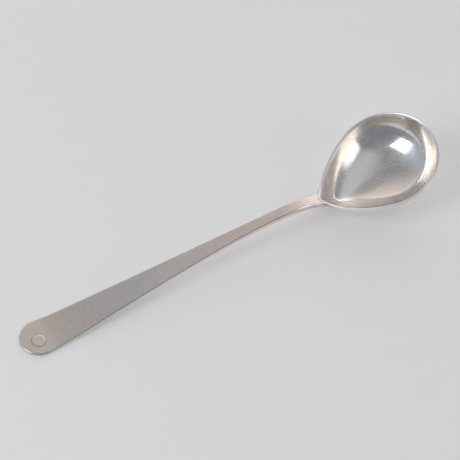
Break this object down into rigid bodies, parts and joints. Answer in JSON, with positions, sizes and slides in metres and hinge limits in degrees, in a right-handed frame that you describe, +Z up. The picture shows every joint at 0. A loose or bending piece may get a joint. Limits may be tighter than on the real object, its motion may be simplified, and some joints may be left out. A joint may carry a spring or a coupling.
{
  "type": "serving spoon",
  "caption": "Silver serving spoon with a deep pear-shaped polished bowl, a narrow edge strip, a flat tapered satin handle and a flush round inlay in the handle's end.",
  "frame": {"origin": "middle of the spoon's length and width, on the table it lies on", "axes": "+X from the handle's wide end to the bowl's tip, +Y across the spoon, +Z up from the table"},
  "size_m": [0.21, 0.0492, 0.0252],
  "materials": {
    "bowl": "polished silver with fine wear scratches",
    "bowl_rim": "bright polished silver edge",
    "handle": "satin silver, faintly toned",
    "handle_disc": "satin silver, slightly warmer"
  },
  "bodies": {
    "root": {"bowl": "bowl", "bowl_rim": "bowl_rim", "handle": "handle", "handle_disc": "handle_disc"}
  },
  "joints": []
}
